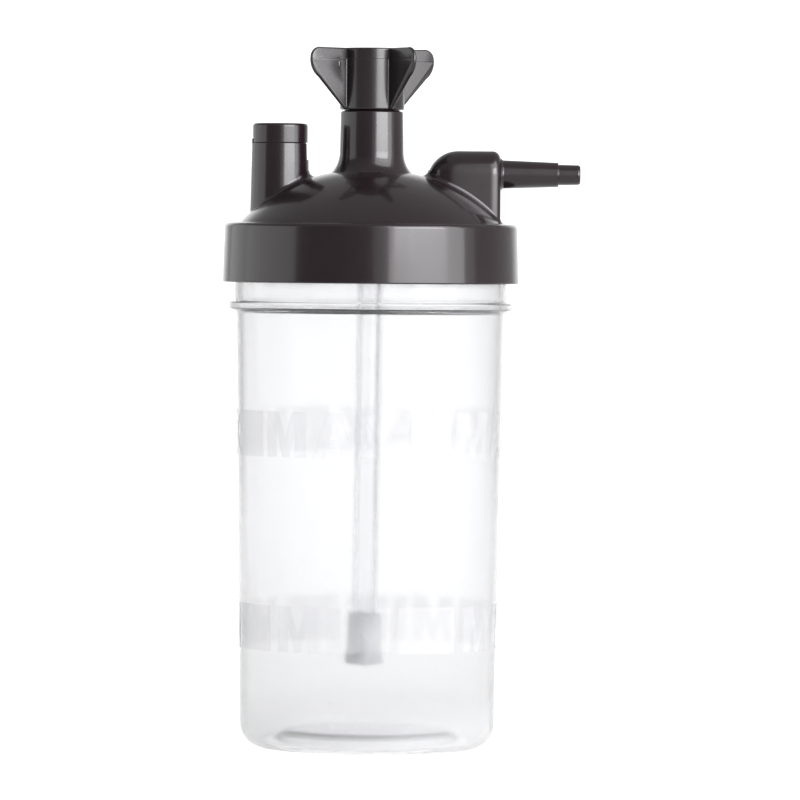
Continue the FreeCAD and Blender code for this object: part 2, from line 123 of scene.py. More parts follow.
def coordinate(tree, output):
    return tree.nodes.new("ShaderNodeTexCoord").outputs[output]


def axis_parts(tree, vector):
    """The vector's X, Y and Z."""
    parts = tree.nodes.new("ShaderNodeSeparateXYZ")
    tree.links.new(vector, parts.inputs["Vector"])
    return parts.outputs


# The room's brightness round the horizon, in degrees from +X towards +Y: pale at the sides,
# white behind the object and dark in front of it.
HORIZON = [(-180, 0.80), (-155, 0.80), (-145, 0.27), (-81, 0.27), (-72, 0.80),
           (-20, 0.80), (-5, 0.50), (54, 0.50), (70, 1.38), (110, 1.38),
           (122, 0.60), (129, 0.60), (138, 0.75), (180, 0.80)]


def horizon_light(tree, parts):
    """The brightness of the room in this direction along the horizon."""
    angle = combine(tree, "ARCTAN2", parts["Y"], parts["X"])
    stops = tree.nodes.new("ShaderNodeValToRGB")
    tree.links.new(ramp(tree, angle, -math.pi, math.pi, 0.0, 1.0), stops.inputs["Fac"])
    elements = stops.color_ramp.elements
    while len(elements) < len(HORIZON):
        elements.new(0.5)
    for element, (degrees, value) in zip(elements, HORIZON):
        element.position = (degrees + 180) / 360
        element.color = (value, value, value, 1)
    return ramp(tree, stops.outputs["Color"], 0.0, 2.0, 0.0, 2.0)


def blend_values(tree, share, low, high):
    """low where share is 0, high where it's 1."""
    node = tree.nodes.new("ShaderNodeMix")
    tree.links.new(share, node.inputs["Factor"])
    tree.links.new(low, node.inputs["A"])
    tree.links.new(high, node.inputs["B"])
    return node.outputs["Result"]


def studio_world():
    """A plain room, dim overhead except towards the right."""
    world = bpy.data.worlds.new("studio")
    world.use_nodes = True
    tree = world.node_tree
    parts = axis_parts(tree, coordinate(tree, "Generated"))
    overhead = combine(tree, "ADD", ramp(tree, parts["Z"], 0.0, 1.0, 0.27, 0.50),
                       ramp(tree, parts["X"], 0.5, 1.0, 0.0, 0.20))
    climb = ramp(tree, parts["Z"], 0.24, 0.50, 0.0, 1.0)
    light = blend_values(tree, climb, horizon_light(tree, parts), overhead)
    tree.links.new(light, tree.nodes["Background"].inputs["Strength"])
    tree.nodes["Background"].inputs["Color"].default_value = (1, 1, 1, 1)
    return world


bpy.context.scene.world = studio_world()


# ---------------------------------------------------------------- materials

def new_material(name, **sockets):
    """A Principled material with these socket values."""
    material = bpy.data.materials.new(name)
    material.use_nodes = True
    shader = material.node_tree.nodes["Principled BSDF"]
    for key, value in sockets.items():
        shader.inputs[key.replace("_", " ")].default_value = value
    return material, material.node_tree, shader


def noise(tree, scale, detail=3.0, roughness=0.5, stretch=(1, 1, 1)):
    """Noise in object space; scale is in features per metre."""
    mapping = tree.nodes.new("ShaderNodeMapping")
    mapping.inputs["Scale"].default_value = stretch
    texture = tree.nodes.new("ShaderNodeTexNoise")
    texture.inputs["Scale"].default_value = scale
    texture.inputs["Detail"].default_value = detail
    texture.inputs["Roughness"].default_value = roughness
    tree.links.new(coordinate(tree, "Object"), mapping.inputs["Vector"])
    tree.links.new(mapping.outputs["Vector"], texture.inputs["Vector"])
    return texture.outputs["Fac"]


def spread(tree, source, low, high):
    """Noise, which mostly lies between 0.3 and 0.7, spread from low to high."""
    return ramp(tree, source, 0.3, 0.7, low, high)


def bump(tree, shader, height, distance, below=None):
    """A bump of this height in metres on the shader, over the bump below it."""
    node = tree.nodes.new("ShaderNodeBump")
    node.inputs["Strength"].default_value = 1.0
    node.inputs["Distance"].default_value = distance
    tree.links.new(height, node.inputs["Height"])
    if below is not None:
        tree.links.new(below.outputs["Normal"], node.inputs["Normal"])
    tree.links.new(node.outputs["Normal"], shader.inputs["Normal"])
    return node


def tint(tree, shader, source, dark, light):
    """The base colour, from dark to light over the middle of the noise's range."""
    stops = tree.nodes.new("ShaderNodeValToRGB")
    for element, position, colour in zip(stops.color_ramp.elements, (0.35, 0.65), (dark, light)):
        element.position = position
        element.color = colour + (1,)
    tree.links.new(source, stops.inputs["Fac"])
    tree.links.new(stops.outputs["Color"], shader.inputs["Base Color"])


def glossy_plastic(name, dark, light, polish, sink=2.2e-5):
    """Moulded ABS: a faint colour drift, soft sink waviness and fine handling haze."""
    material, tree, shader = new_material(name, IOR=1.52, Specular_IOR_Level=0.17,
                                          Coat_Weight=0.68, Coat_Roughness=polish)
    tint(tree, shader, noise(tree, 26, 4), dark, light)
    haze = noise(tree, 420, 6, 0.65, (1, 1, 0.35))
    tree.links.new(spread(tree, haze, polish + 0.16, polish + 0.26), shader.inputs["Roughness"])
    wave = bump(tree, shader, noise(tree, 60, 1), sink)
    fine = bump(tree, shader, noise(tree, 2600, 2), 2.0e-6, below=wave)
    tree.links.new(fine.outputs["Normal"], shader.inputs["Coat Normal"])
    return material


def clear_plastic(name, colour, roughness, clear, shine,
                  ior=1.49, stretch=(1, 1, 0.12), milky_base=None):
    """Clear moulded plastic, a touch milky, with flow waviness along Z. milky_base is how
    clear the foot of the piece is."""
    material, tree, shader = new_material(name, IOR=ior, Transmission_Weight=clear,
                                          Specular_Tint=(shine, shine, shine, 1))
    light = tuple(min(1.0, c + 0.008) for c in colour)
    tint(tree, shader, noise(tree, 40, 2, 0.5, stretch), colour, light)
    flow = noise(tree, 150, 3, 0.5, stretch)
    tree.links.new(spread(tree, flow, roughness, roughness + 0.06), shader.inputs["Roughness"])
    bump(tree, shader, noise(tree, 70, 2, 0.5, stretch), 3.0e-5)
    if milky_base is not None:
        height = axis_parts(tree, coordinate(tree, "Object"))["Z"]
        clearness = ramp(tree, height, 0.006, 0.016, milky_base, clear)
        tree.links.new(clearness, shader.inputs["Transmission Weight"])
    return material


LID = glossy_plastic("lid_plastic", (0.0068, 0.0034, 0.0048), (0.0088, 0.0045, 0.0062), 0.11)
NUT = glossy_plastic("nut_plastic", (0.0080, 0.0058, 0.0068), (0.0102, 0.0074, 0.0086), 0.17)
INNER = glossy_plastic("inner_plastic", (0.0120, 0.0090, 0.0105), (0.0170, 0.0130, 0.0150), 0.26)
CLEAR = clear_plastic("bottle_clear", (0.855, 0.857, 0.864), 0.10, 0.96, 0.2, milky_base=0.87)
TUBE = clear_plastic("tube_clear", (0.985, 0.986, 0.990), 0.05, 0.975, 0.5)
DIFFUSER = clear_plastic("diffuser_clear", (0.930, 0.932, 0.938), 0.12, 0.62, 0.3,
                         stretch=(1, 1, 1))
FROSTED = clear_plastic("bottle_frosted", (0.930, 0.930, 0.936), 0.12, 0.95, 0.2, 1.02, (1, 1, 1))


def silicone(name, dark, light):
    """Soft pale rubber with a fine grain."""
    material, tree, shader = new_material(name, IOR=1.41, Subsurface_Weight=0.15)
    shader.inputs["Subsurface Scale"].default_value = 0.002
    tint(tree, shader, noise(tree, 180, 3), dark, light)
    tree.links.new(spread(tree, noise(tree, 900, 4), 0.42, 0.58), shader.inputs["Roughness"])
    bump(tree, shader, noise(tree, 3200, 3), 4.0e-6)
    return material


def drawn_steel(name):
    """Bright wire, streaked along its length."""
    material, tree, shader = new_material(name, Metallic=1.0)
    tint(tree, shader, noise(tree, 500, 4), (0.52, 0.52, 0.53), (0.62, 0.62, 0.63))
    streaks = noise(tree, 3000, 3, 0.6, (0.15, 0.15, 1))
    tree.links.new(spread(tree, streaks, 0.18, 0.32), shader.inputs["Roughness"])
    bump(tree, shader, streaks, 3.0e-6)
    return material


SEAL = silicone("seal_rubber", (0.60, 0.60, 0.585), (0.66, 0.66, 0.645))
STEEL = drawn_steel("spring_steel")


# ---------------------------------------------------------------- mesh helpers

class Shape:
    """Vertices in millimetres and faces, collected before they become one mesh."""

    def __init__(self):
        self.verts = []
        self.faces = []

    def add(self, verts, faces):
        start = len(self.verts)
        self.verts += [tuple(v) for v in verts]
        self.faces += [tuple(start + i for i in face) for face in faces]
        return self

    def grid(self, rows, close=False, flip=False):
        """Quads between rows of points of equal length; close joins each row's ends."""
        width = len(rows[0])
        verts = [p for row in rows for p in row]
        faces = []
        for j in range(len(rows) - 1):
            for i in range(width if close else width - 1):
                k = (i + 1) % width
                face = (j * width + i, j * width + k, (j + 1) * width + k, (j + 1) * width + i)
                faces.append(face[::-1] if flip else face)
        return self.add(verts, faces)

    def capped(self, rows):
        """Rows of closed sections, with the first and the last filled in."""
        width = len(rows[0])
        start = len(self.verts)
        self.grid(rows, close=True)
        last = len(self.verts) - width
        self.faces.append(tuple(range(start, start + width))[::-1])
        self.faces.append(tuple(range(last, last + width)))
        return self

    def mesh(self, name, weld=0.002, sharp=32):
        """One mesh in metres, welded, facing outwards, smooth but for sharp edges."""
        data = bpy.data.meshes.new(name)
        data.from_pydata([tuple(c * MM for c in v) for v in self.verts], [], self.faces)
        return clean(data, weld * MM, sharp)


def clean(data, weld, sharp):
    """Weld a mesh, face it outwards and mark the edges sharper than this many degrees."""
    work = bmesh.new()
    work.from_mesh(data)
    bmesh.ops.remove_doubles(work, verts=work.verts, dist=weld)
    bmesh.ops.dissolve_degenerate(work, edges=work.edges, dist=weld * 0.5)
    bmesh.ops.recalc_face_normals(work, faces=work.faces)
    limit = math.radians(sharp)
    for face in work.faces:
        face.smooth = True
    for edge in work.edges:
        edge.smooth = not (len(edge.link_faces) == 2 and edge.calc_face_angle() > limit)
    work.to_mesh(data)
    work.free()
    return data


def piece(name, data, body, material, nodes=()):
    """Put a mesh in the scene, on its CAD body, in place of its CAD nodes."""
    obj = bpy.data.objects.new(name, data)
    bpy.context.scene.collection.objects.link(obj)
    data.materials.append(material)
    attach(obj, body)
    if nodes:
        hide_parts(*nodes)
    return obj


def soft(path, segments=5):
    """A polyline through (x, y) or (x, y, radius) corners, with the radii rounded."""
    points = []
    count = len(path)
    for i, step in enumerate(path):
        here = Vector(step[:2])
        radius = step[2] if len(step) > 2 else 0
        if not radius:
            points.append(tuple(here))
            continue
        back = Vector(path[i - 1][:2]) - here
        on = Vector(path[(i + 1) % count][:2]) - here
        turn = math.pi - back.angle(on)
        if turn < 1e-3:
            points.append(tuple(here))
            continue
        cut = min(radius * math.tan(turn / 2), back.length * 0.48, on.length * 0.48)
        start = here + back.normalized() * cut
        end = here + on.normalized() * cut
        true = cut / math.tan(turn / 2)
        centre = here + (back.normalized() + on.normalized()).normalized() * math.hypot(true, cut)
        a = start - centre
        b = end - centre
        sweep = math.atan2(a.x * b.y - a.y * b.x, a.dot(b))
        n = max(2, int(segments * abs(sweep) / (math.pi / 2) + 0.99))
        for k in range(n + 1):
            points.append(tuple(centre + Matrix.Rotation(sweep * k / n, 2) @ a))
    return points


def arc(start, end, radius, side, steps):
    """Points along an arc; side +1 bulges left of start to end. Leaves out the start."""
    a = Vector(start)
    b = Vector(end)
    half = (b - a).length / 2
    along = (b - a).normalized()
    left = Vector((-along.y, along.x)) * side
    centre = (a + b) / 2 - left * math.sqrt(radius * radius - half * half)
    u = a - centre
    w = b - centre
    sweep = math.atan2(u.x * w.y - u.y * w.x, u.dot(w))
    return [tuple(centre + Matrix.Rotation(sweep * k / steps, 2) @ u) for k in range(1, steps + 1)]


def on_z(r, angle, z, cx=0.0):
    return (cx + r * math.cos(angle), r * math.sin(angle), z)


def lathe(shape, profile, steps=192, closed=True, cx=0.0, axis="Z", height=0.0):
    """Turn (r, z) points round Z at cx, or (x, r) points round X at this height."""
    loop = profile + profile[:1] if closed else profile
    rows = []
    for a, b in loop:
        row = []
        for i in range(steps):
            t = 2 * math.pi * i / steps
            if axis == "Z":
                row.append(on_z(a, t, b, cx))
            else:
                row.append((a, b * math.cos(t), height + b * math.sin(t)))
        rows.append(row)
    return shape.grid(rows, close=True)


def sweep_path(shape, path, frames, points, scales):
    """Carry a closed section along a path; frames gives (side, up) at each point."""
    rows = []
    for centre, (side, up), scale in zip(path, frames, scales):
        rows.append([tuple(Vector(centre) + side * x * scale + up * y) for x, y in points])
    return shape.capped(rows)


def thread(shape, radius, depth, root, crest, z0, pitch, turns, inward=False, per_turn=96):
    """A helical ridge on a wall at radius, its ends run out over a few degrees."""
    path = []
    frames = []
    scales = []
    count = int(per_turn * turns)
    sign = -1 if inward else 1
    fade = per_turn * 0.06
    for i in range(count + 1):
        angle = 2 * math.pi * i / per_turn
        out = Vector((math.cos(angle), math.sin(angle), 0)) * sign
        path.append(on_z(radius, angle, z0 + pitch * i / per_turn))
        frames.append((out, Vector((0, 0, 1))))
        scales.append(min(1.0, (min(i, count - i) + 0.3) / fade))
    base = -0.25
    points = [(base, -root), (0, -root), (depth * 0.9, -crest - 0.05), (depth, -crest + 0.08),
              (depth, crest - 0.08), (depth * 0.9, crest + 0.05), (0, root), (base, root)]
    return sweep_path(shape, path, frames, points, scales)


def cut_clean(target, cutters):
    """Cut these meshes out of a mesh, exactly, and clean up the result."""
    obj = bpy.data.objects.new("work", target)
    bpy.context.scene.collection.objects.link(obj)
    made = []
    for cutter in cutters:
        tool = bpy.data.objects.new("cutter", cutter)
        bpy.context.scene.collection.objects.link(tool)
        made.append(tool)
        modifier = obj.modifiers.new("cut", "BOOLEAN")
        modifier.operation = "DIFFERENCE"
        modifier.solver = "EXACT"
        modifier.object = tool
    bpy.context.view_layer.update()
    graph = bpy.context.evaluated_depsgraph_get()
    result = bpy.data.meshes.new_from_object(obj.evaluated_get(graph))
    for item in made + [obj]:
        bpy.data.objects.remove(item)
    return clean(result, 2e-6, 32)


def block(low, high):
    """A box between two corners."""
    shape = Shape()
    (x0, y0, z0), (x1, y1, z1) = low, high
    corners = [(x0, y0, z0), (x1, y0, z0), (x1, y1, z0), (x0, y1, z0),
               (x0, y0, z1), (x1, y0, z1), (x1, y1, z1), (x0, y1, z1)]
    faces = [(0, 3, 2, 1), (4, 5, 6, 7), (0, 1, 5, 4), (1, 2, 6, 5), (2, 3, 7, 6), (3, 0, 4, 7)]
    return shape.add(corners, faces).mesh("block")


def ring_of(radius, steps, across=0.0, up=0.0):
    """Points round a circle."""
    turns = [2 * math.pi * i / steps for i in range(steps)]
    return [(across + radius * math.cos(a), up + radius * math.sin(a)) for a in turns]


def rod(radius, low, high, cx=0.0, cy=0.0, steps=64):
    """A solid cylinder along Z."""
    ring = ring_of(radius, steps, cx, cy)
    return Shape().capped([[p + (z,) for p in ring] for z in (low, high)]).mesh("rod")


def held(points, closed=True):
    """Add a point just inside each end of every long side, so that shading stays on it."""
    result = []
    count = len(points)
    for i in range(count if closed else count - 1):
        a = Vector(points[i])
        b = Vector(points[(i + 1) % count])
        result.append(tuple(a))
        if (b - a).length > 1.0:
            step = (b - a).normalized() * 0.12
            result += [tuple(a + step), tuple(b - step)]
    if not closed:
        result.append(tuple(points[-1]))
    return result


# ---------------------------------------------------------------- lid

POST_X = -25.85
ELBOW_END = 36.5
OUTLET_Z = 162.5
DOME = arc((36.5, 148.9), (11.4, 162.6), 46, -1, 44)
FLARE = arc((11.4, 162.6), (9.05, 168.6), 8.83, 1, 16)
UNDER_DOME = arc((33.7, 147.3), (5.4, 160.7), 46, -1, 36)


def height_on(points, r, beyond):
    """The height of a falling profile at this radius."""
    for (r0, z0), (r1, z1) in zip(points, points[1:]):
        if r1 <= r <= r0:
            return z0 + (z1 - z0) * (r0 - r) / max(r0 - r1, 1e-9)
    return beyond


LID_TOP = [(41.0, 147.95), (40.0, 148.1), (36.7, 148.6), (36.5, 148.9)] + DOME + FLARE


def lid_top(x, y):
    return height_on(LID_TOP, math.hypot(x, y), 148.0)


def lid_under(x, y):
    return height_on([(33.7, 147.3)] + UNDER_DOME, math.hypot(x, y), 146.5)


def root_fillet(shape, outline, radius, crown_z=1e6, crown_r=1.0, depth=0.5, steps=10):
    """A concave fillet where an upright wall meets the lid's top, following an outline
    of (x, y, normal x, normal y). Above crown_z the wall curves over at crown_r."""
    rows = []
    for x, y, nx, ny in outline:
        def surface(s):
            return lid_top(x + nx * s, y + ny * s)

        def centre(t):
            if crown_z + t < crown_z:
                return radius, crown_z + t
            reach = crown_r + radius
            a = t / reach
            return -crown_r + reach * math.cos(a), crown_z + reach * math.sin(a)

        def nearest(t):
            cs, cz = centre(t)
            spots = [cs + radius * (k / 24 - 1.2) for k in range(60)]
            return min((math.hypot(s - cs, surface(s) - cz), s) for s in spots)

        low = surface(radius) - crown_z - radius
        high = low + 5 * radius
        for _ in range(22):
            middle = (low + high) / 2
            if nearest(middle)[0] < radius or centre(middle)[1] < surface(centre(middle)[0]):
                low = middle
            else:
                high = middle
        cs, cz = centre(high)
        foot = nearest(high)[1]
        lean = max(0.0, high / (crown_r + radius)) if crown_z + high > crown_z else 0.0
        first = math.pi + lean
        last = math.atan2(surface(foot) - cz, foot - cs) % (2 * math.pi)
        section = []
        for k in range(steps + 1):
            a = first + (last - first) * k / steps
            section.append((cs + radius * math.cos(a) - 0.01, cz + radius * math.sin(a) - 0.01))
        top = section[0]
        foot_z = section[-1][1]
        section += [(foot, foot_z - depth), (-depth, surface(-depth) - depth),
                    (top[0] - depth, top[1])]
        rows.append([(x + nx * s, y + ny * s, z) for s, z in section])
    return shape.grid(rows + rows[:1], close=True)


def circle_outline(radius, cx, steps=128):
    """A circle as an outline for root_fillet, with its outward normals."""
    turns = [2 * math.pi * i / steps for i in range(steps)]
    return [(cx + radius * math.cos(t), radius * math.sin(t), math.cos(t), math.sin(t))
            for t in turns]


def elbow_half(half_width, crown, nose, end, corner):
    """Half the elbow's plan from nose to end, each with the height its back rises over the
    outlet axis. The nose is half an ellipse and the flank then closes in by a few degrees."""
    def rise(x):
        return math.sqrt(crown * crown - max(0.0, 24.5 - x) ** 2) - 2.33

    half = []
    for k in range(25):
        t = math.pi / 2 * k / 24
        x = ELBOW_WIDEST - (ELBOW_WIDEST - nose) * math.cos(t)
        half.append((x, half_width * math.sin(t), max(0.0, rise(x))))
    taper = math.radians(4.2)
    last = end - corner * (1 - math.sin(taper))
    for k in range(1, 13):
        run = (last - ELBOW_WIDEST) * k / 12
        x = ELBOW_WIDEST + run
        half.append((x, half_width - math.tan(taper) * run * run / (run + 2.5), rise(x)))
    side, top = half[-1][1:]
    for k in range(1, 11):
        a = taper + (math.pi / 2 - taper) * k / 10
        b = math.pi / 2 * k / 10
        half.append((last + corner * (math.sin(a) - math.sin(taper)),
                     side - corner * (math.cos(taper) - math.cos(a)),
                     top - corner * (1 - math.cos(b))))
    side, top = half[-1][1:]
    return half + [(end, side * share, top * share) for share in (0.97, 0.5, 0.0)]


def loop_round(half):
    """The whole plan from half of it, anticlockwise, with outward normals."""
    plan = [point[:2] for point in half]
    loop = plan[::-1] + [(x, -y) for x, y in plan[1:-1]]
    points = []
    for i, (x, y) in enumerate(loop):
        along = (Vector(loop[(i + 1) % len(loop)]) - Vector(loop[i - 1])).normalized()
        points.append((x, y, along.y, -along.x))
    return points


ELBOW_WIDEST = 22.6
ELBOW_OUTER = elbow_half(6.7, 8.9, 15.9, ELBOW_END, 2.5)
ELBOW_INNER = elbow_half(4.9, 7.1, 17.8, 34.0, 0.6)


def arch_rows(half, bottom, steps=40):
    """Ribs over the elbow: up one side, over the crown and down the other."""
    rows = []
    for x, side, rise in half:
        low = bottom(x, side)
        wall = [low + (OUTLET_Z - low) * k / 12 for k in range(12)]
        turns = [math.pi * k / steps for k in range(steps + 1)]
        row = [(x, side, z) for z in wall]
        row += [(x, side * math.cos(t), OUTLET_Z + rise * math.sin(t)) for t in turns]
        row += [(x, -side, z) for z in reversed(wall)]
        rows.append(row)
    return rows


def elbow_shell():
    """The hollow elbow: outer and inner arches, joined along their feet and ends."""
    shape = Shape()
    outside = arch_rows(ELBOW_OUTER, lambda x, y: lid_top(x, y) - 0.8)
    inside = arch_rows(ELBOW_INNER, lambda x, y: lid_under(x, y) - 0.1)
    shape.grid(outside)
    shape.grid(inside, flip=True)
    out_foot = [row[0] for row in outside] + [row[-1] for row in reversed(outside)]
    in_foot = [row[0] for row in inside] + [row[-1] for row in reversed(inside)]
    bridge(shape, out_foot, in_foot)
    return shape


def bridge(shape, first, second):
    """A strip of triangles between two closed loops of different point counts."""
    start = len(shape.verts)
    shape.verts += first + second
    n = len(first)
    m = len(second)
    i = j = 0
    while i < n or j < m:
        a = start + i % n
        b = start + n + j % m
        if j >= m or (i < n and (i + 1) * m <= (j + 1) * n):
            shape.faces.append((a, start + (i + 1) % n, b))
            i += 1
        else:
            shape.faces.append((a, start + n + (j + 1) % m, b))
            j += 1


def lid_main():
    """The ring, dome and neck with every inner surface, cut for the elbow and the valve."""
    outer = soft([(40.9, 131.5), (41.85, 131.5, 0.35), (41.3, 148.12, 1.3),
                  (36.75, 148.6, 0.12), (36.5, 148.9)], 8)
    top = soft([(9.05, 168.6), (8.82, 180.0, 0.9), (7.9, 180.0, 0.1), (7.8, 180.32, 0.1),
                (5.65, 180.32, 0.1), (5.6, 180.0), (5.6, 166.5), (2.6, 166.5), (2.6, 158.0),
                (3.5, 158.0), (3.5, 147.0, 0.5), (5.4, 147.0, 0.4), (5.4, 160.7)], 6)[1:]
    inside = list(reversed(UNDER_DOME))[1:] + [(33.7, 147.3)]
    seat = soft([(33.7, 147.3), (33.7, 143.6, 0.3), (35.1, 143.6, 0.3), (35.1, 146.0),
                 (40.2, 146.0), (40.2, 132.3, 0.4), (40.9, 131.5)], 5)[1:-1]
    profile = outer + DOME + FLARE + top + inside + seat
    data = lathe(Shape(), held(profile), 224).mesh("lid_main")
    plan = [(x + nx * 0.05, y + ny * 0.05) for x, y, nx, ny in loop_round(ELBOW_INNER)]
    room = Shape().capped([[p + (z,) for p in plan] for z in (146.5, 169.5)]).mesh("room")
    return cut_clean(data, [room, rod(6.1, 144.0, 168.0, POST_X)])


def post_shell():
    """The relief valve's post with its seat, chamber, bore and vent slot."""
    profile = soft([(8.45, 149.9), (8.0, 170.9, 0.3), (7.35, 170.9, 0.2), (7.35, 166.0),
                    (6.3, 166.0), (6.3, 158.0), (3.1, 158.0), (2.7, 158.8, 0.15),
                    (2.0, 158.8, 0.1), (2.0, 156.0), (5.9, 156.0), (5.7, 149.9)], 5)
    data = lathe(Shape(), held(profile), 144, cx=POST_X).mesh("post")
    slot = block((POST_X + 5, -3.0, 166.1), (POST_X + 10, 3.0, 172.0))
    return cut_clean(data, [slot])


def plate(shape, outline, thickness, rounding, place, steps=4):
    """A flat plate with rounded edges: outline is (u, v), place turns (u, v, w) to a point."""
    inner = inset(outline, rounding)
    rows = []
    half = thickness / 2
    for side in (-1, 1):
        for k in range(steps + 1):
            a = math.pi / 2 * (k / steps if side < 0 else 1 - k / steps)
            share = math.sin(a)
            w = side * (half - rounding + rounding * math.cos(a))
            rows.append([place(i[0] + (o[0] - i[0]) * share, i[1] + (o[1] - i[1]) * share, w)
                         for i, o in zip(inner, outline)])
    return shape.capped(rows)


def inset(points, distance):
    """A closed outline, anticlockwise, moved in by this distance."""
    result = []
    count = len(points)
    for i in range(count):
        a = (Vector(points[i]) - Vector(points[i - 1])).normalized()
        b = (Vector(points[(i + 1) % count]) - Vector(points[i])).normalized()
        left = Vector((-a.y - b.y, a.x + b.x))
        share = max(left.length_squared / 2, 0.3)
        result.append(tuple(Vector(points[i]) + left * (distance / share)))
    return result


def join(name, parts):
    """Several meshes as one."""
    work = bmesh.new()
    for part in parts:
        work.from_mesh(part)
    data = bpy.data.meshes.new(name)
    work.to_mesh(data)
    work.free()
    return data


def outlet():
    """The stepped outlet nipple with a small fillet at its root."""
    shape = Shape()
    profile = soft([(35.2, 4.0), (36.45, 4.65), (37.2, 4.03, 0.5), (52.7, 3.45, 0.15),
                    (52.9, 2.92, 0.08), (58.5, 2.80, 0.4), (59.0, 2.47, 0.2),
                    (59.0, 2.25, 0.1), (58.6, 1.9), (35.2, 1.9)], 5)
    return lathe(shape, held(profile), 96, axis="X", height=OUTLET_Z).mesh("outlet")


def lid_pieces():
    """Every part of the lid's moulding, as one mesh."""
    ring = ring_of(1.9, 64, 0.0, OUTLET_Z)
    bore = Shape().capped([[(x,) + p for p in ring] for x in (33.0, 37.5)]).mesh("bore")
    elbow = cut_clean(elbow_shell().mesh("elbow"), [bore])
    fillets = Shape()
    root_fillet(fillets, circle_outline(8.33, POST_X), 1.6)
    root_fillet(fillets, loop_round(ELBOW_OUTER), 1.9, OUTLET_Z, 6.7)
    tab = Shape()
    west = POST_X - 7.95
    east = POST_X - 7.3
    square = ((west, -1.5), (east, -1.5), (east, 1.5), (west, 1.5))
    outline = soft([(x, y, 0.15) for x, y in square], 3)
    plate(tab, outline, 1.9, 0.15, lambda u, v, w: (u, v, 171.15 + w))
    ridge = thread(Shape(), 40.2, 1.33, 0.85, 0.45, 134.6, 4.0, 1.25, inward=True)
    parts = [lid_main(), post_shell(), elbow, outlet(), fillets.mesh("fillets"),
             tab.mesh("tab"), ridge.mesh("ridge", sharp=45)]
    return join("lid_shell", parts)


piece("lid_shell", lid_pieces(), "lid", LID, ["lid"])


def through(a, b, c, steps):
    """Points along the arc from a through b to c. Leaves out a."""
    ax, ay = a
    bx, by = b
    cx, cy = c
    k = 2 * (ax * (by - cy) + bx * (cy - ay) + cx * (ay - by))
    aa = ax * ax + ay * ay
    bb = bx * bx + by * by
    cc = cx * cx + cy * cy
    ux = (aa * (by - cy) + bb * (cy - ay) + cc * (ay - by)) / k
    uy = (aa * (cx - bx) + bb * (ax - cx) + cc * (bx - ax)) / k
    radius = math.hypot(ax - ux, ay - uy)
    t0 = math.atan2(ay - uy, ax - ux)
    t1 = math.atan2(by - uy, bx - ux)
    t2 = math.atan2(cy - uy, cx - ux)
    turn = (t2 - t0) % (2 * math.pi)
    if (t1 - t0) % (2 * math.pi) > turn:
        turn -= 2 * math.pi
    angles = [t0 + turn * k / steps for k in range(1, steps + 1)]
    return [(ux + radius * math.cos(a), uy + radius * math.sin(a)) for a in angles]


def cap_points(apex, edge, steps):
    """From just off the axis at apex out to edge, round a centre on the axis."""
    drop = apex - edge[1]
    radius = (edge[0] ** 2 + drop * drop) / (2 * drop)
    half = math.asin(edge[0] / radius)
    return [(radius * math.sin(half * k / steps), apex - radius * (1 - math.cos(half * k / steps)))
            for k in range(steps + 1)]


# ---------------------------------------------------------------- bottle

def wall_r(z):
    """The bottle's outer radius up its tapered wall."""
    return 35.95 + (z - 7.0) * 1.95 / 116.2


def bottle_wall():
    """The bottle from the middle of its base, up the outside and back down the inside."""
    gate = [(0.0, 4.85), (1.9, 4.85), (2.15, 4.95), (2.35, 5.2), (2.55, 5.575)]
    under = [p for p in cap_points(5.6, (22.6, 3.6), 14) if p[0] > 3]
    heel = through((22.6, 3.6), (24.9, 1.6), (25.6, 0.0), 9)
    corner = through((28.9, 0.0), (33.86, 2.04), (35.95, 7.0), 14)
    shoulder = soft([(35.95, 7.0), (37.9, 123.2, 0.5), (39.75, 124.0, 0.35), (40.1, 124.35, 0.3),
                     (40.1, 126.1, 0.6), (38.45, 126.1, 0.4), (38.45, 144.4, 0.45),
                     (36.6, 144.4, 0.35), (36.6, 124.0, 1.5), (36.5, 121.9, 1.5),
                     (34.55, 7.0)], 5)[1:]
    inner = through((34.55, 7.0), (32.86, 3.04), (28.9, 1.4), 12)
    valley = [(27.6, 1.4)] + through((27.0, 1.4), (25.6, 3.0), (23.2, 5.1), 9)
    floor_up = list(reversed(cap_points(7.0, (23.2, 5.1), 14)))[1:]
    profile = gate + under + heel + [(28.9, 0.0)] + corner + shoulder + inner + valley + floor_up
    shape = lathe(Shape(), held(profile, closed=False), 224, closed=False)
    return shape.mesh("wall")


def fill(points_lists):
    """A flat face mesh from closed outlines, holes included."""
    work = bmesh.new()
    edges = []
    for outline in points_lists:
        ring = [work.verts.new((u, v, 0)) for u, v in outline]
        edges += [work.edges.new((ring[i - 1], ring[i])) for i in range(len(ring))]
    bmesh.ops.triangle_fill(work, edges=edges, use_beauty=True)
    return work


